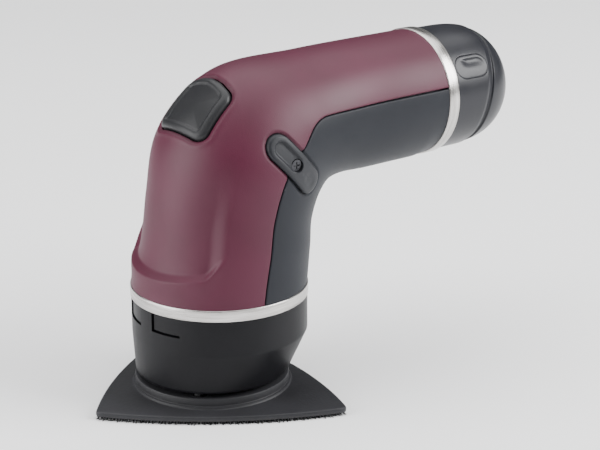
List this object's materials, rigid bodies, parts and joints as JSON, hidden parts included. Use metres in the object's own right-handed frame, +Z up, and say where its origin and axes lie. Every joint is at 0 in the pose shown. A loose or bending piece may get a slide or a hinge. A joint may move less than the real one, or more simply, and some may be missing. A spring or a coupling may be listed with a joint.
{
  "type": "detail mouse sander",
  "caption": "Cordless delta sander with an elbow-shaped two-shell body, orbiting triangular pad, push button, steel trim rings and a slide-in battery pack.",
  "frame": {"origin": "middle of the sanding face, on the axis of the pad bearing", "axes": "+X towards the handle and battery pack at the rear, +Z up from the work surface, +Y to the user's right"},
  "size_m": [0.1826, 0.1014, 0.123],
  "materials": {
    "burgundy_soft_touch": "soft-touch moulding",
    "grey_soft_touch": "soft-touch moulding",
    "clip_plastic": "fine-textured moulding",
    "collar_plastic": "satin moulding",
    "cap_plastic": "satin moulding",
    "button_plastic": "satin moulding",
    "trim_steel": "brushed round the ring",
    "screw_steel": "zinc plated",
    "motor_steel": "plated sheet steel",
    "magnet_ferrite": "sintered",
    "copper": "enamelled",
    "bronze": "sintered",
    "bearing_steel": "ground",
    "inner_plastic": "moulded",
    "die_cast": "zinc die cast",
    "board_green": "solder mask",
    "wire_red": "insulation",
    "cell_wrap": "shrink wrap over a steel can",
    "pad_plastic": "grained moulding",
    "hook_fabric": "moulded hooks",
    "seal_rubber": "moulded"
  },
  "bodies": {
    "housing": {"upper_shell": "burgundy_soft_touch", "lower_shell": "grey_soft_touch", "head_ring": "trim_steel", "handle_ring": "trim_steel", "collar": "collar_plastic", "side_clip_left": "clip_plastic", "side_clip_right": "clip_plastic", "clip_screws": "screw_steel", "collar_screws": "screw_steel", "button_spring": "screw_steel", "switch_module": "inner_plastic", "motor_plate": "die_cast", "motor_can": "motor_steel", "flux_ring": "motor_steel", "magnets": "magnet_ferrite", "motor_end_cap": "inner_plastic", "brushes": "magnet_ferrite", "motor_bushings": "bronze", "motor_screws": "screw_steel", "flexible_feet": "seal_rubber", "circuit_board": "board_green", "board_parts": "inner_plastic", "wires": "wire_red", "pack_socket": "inner_plastic"},
    "rotor": {"motor_shaft": "bearing_steel", "armature_core": "motor_steel", "windings": "copper", "commutator": "copper", "fan": "inner_plastic", "eccentric": "motor_steel", "pad_washer": "screw_steel", "pad_screw": "screw_steel", "bearing_inner": "bearing_steel", "bearing_balls": "bearing_steel"},
    "pad": {"bearing_outer": "bearing_steel", "delta_plate": "pad_plastic", "hook_face": "hook_fabric", "dust_seal": "seal_rubber"},
    "button": {"power_button": "button_plastic"},
    "battery": {"battery_cap": "cap_plastic", "battery_sleeve": "inner_plastic", "battery_cells": "cell_wrap", "pack_terminals": "bronze", "release_springs": "screw_steel"},
    "release_left": {"release_button_left": "button_plastic"},
    "release_right": {"release_button_right": "button_plastic"}
  },
  "joints": [
    {"name": "motor_spin", "type": "hinge", "parent": "housing", "child": "rotor", "pos_m": [-0.0008, 0, 0.03], "axis": [0, 0, 1], "continuous": true},
    {"name": "pad_orbit", "type": "hinge", "parent": "rotor", "child": "pad", "pos_m": [0, 0, 0.0087], "axis": [0, 0, 1], "continuous": true},
    {"name": "button_press", "type": "slide", "parent": "housing", "child": "button", "axis": [0.6626, 0, -0.749], "range_m": [0, 0.0015], "stiffness_N_per_m": 2000},
    {"name": "battery_slide", "type": "slide", "parent": "housing", "child": "battery", "axis": [1, 0, 0], "range_m": [0, 0.06]},
    {"name": "release_left_press", "type": "slide", "parent": "battery", "child": "release_left", "axis": [0, 0.866, -0.5], "range_m": [0, 0.002], "stiffness_N_per_m": 1500},
    {"name": "release_right_press", "type": "slide", "parent": "battery", "child": "release_right", "axis": [0, -0.866, -0.5], "range_m": [0, 0.002], "stiffness_N_per_m": 1500}
  ],
  "couplings": [
    {"joint": "pad_orbit", "follows": "motor_spin", "ratio": -1}
  ]
}
